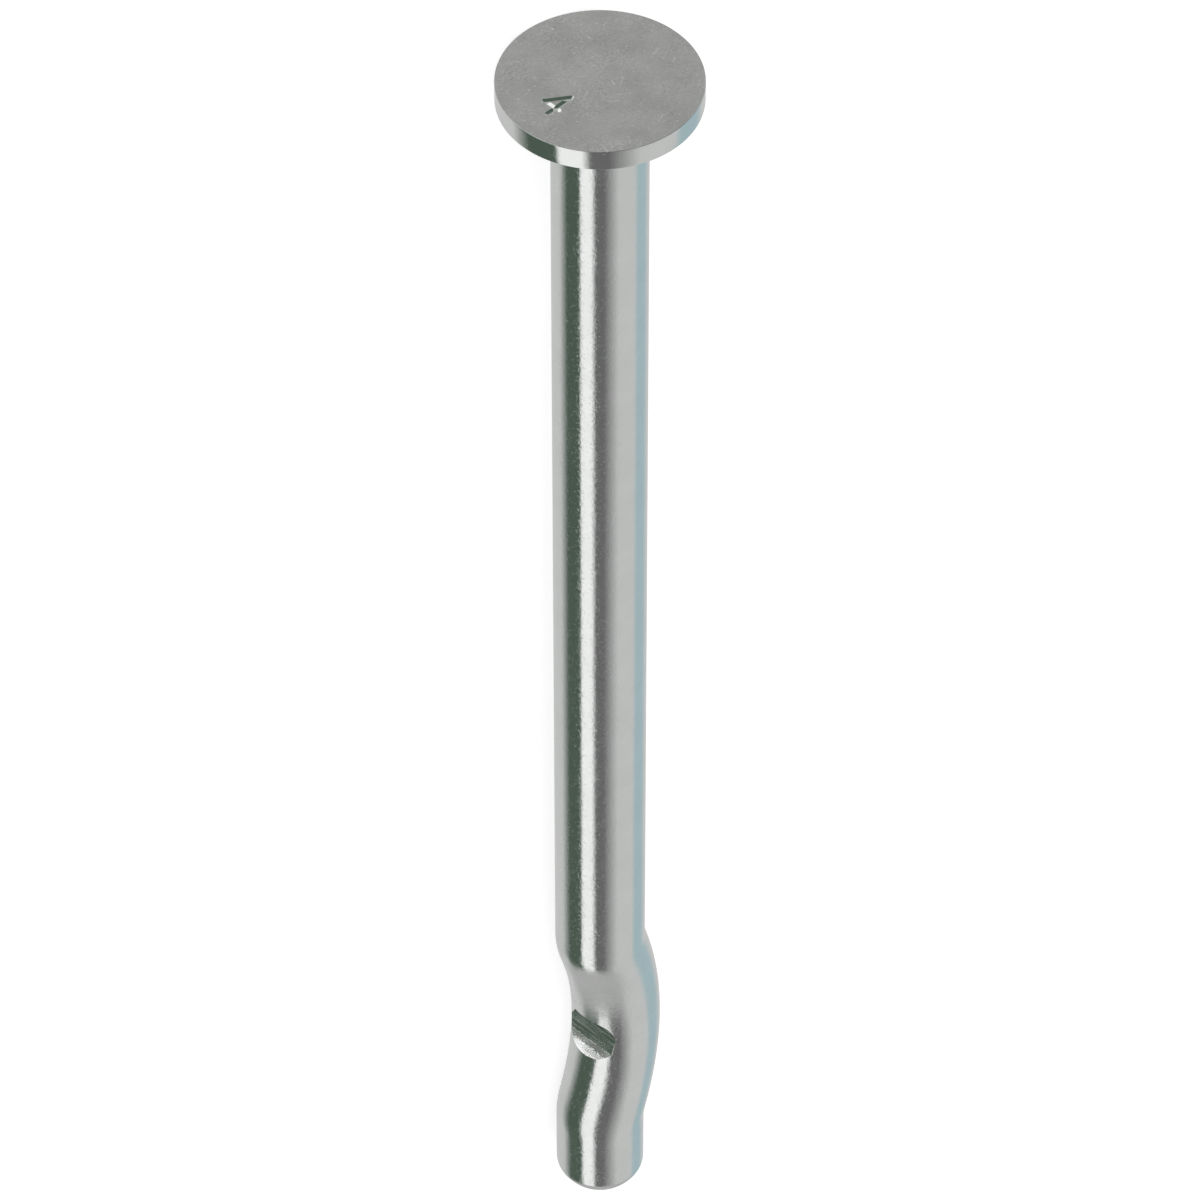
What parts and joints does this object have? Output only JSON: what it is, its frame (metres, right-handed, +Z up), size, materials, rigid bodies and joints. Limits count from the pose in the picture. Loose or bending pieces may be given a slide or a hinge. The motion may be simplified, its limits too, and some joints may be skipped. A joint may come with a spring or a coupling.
{
  "type": "crimp drive anchor",
  "caption": "Flat-headed masonry drive anchor of round steel bar, with a sideways crimp and a pressed notch near the tip that grip the drilled hole it is hammered into.",
  "frame": {"origin": "on the floor that the anchor lies on, in the middle of its box along X and Y", "axes": "+X along the shank from the head to the tip, which is tilted 1.9 degrees down towards the tip, +Z up from the floor, and the crimp's notch on the -Y side"},
  "size_m": [0.1018, 0.0128, 0.0128],
  "materials": {
    "zinc_steel": "bright zinc plate on cold-drawn steel, satin, with fine handling scratches"
  },
  "bodies": {
    "root": {"anchor": "zinc_steel"}
  },
  "joints": []
}
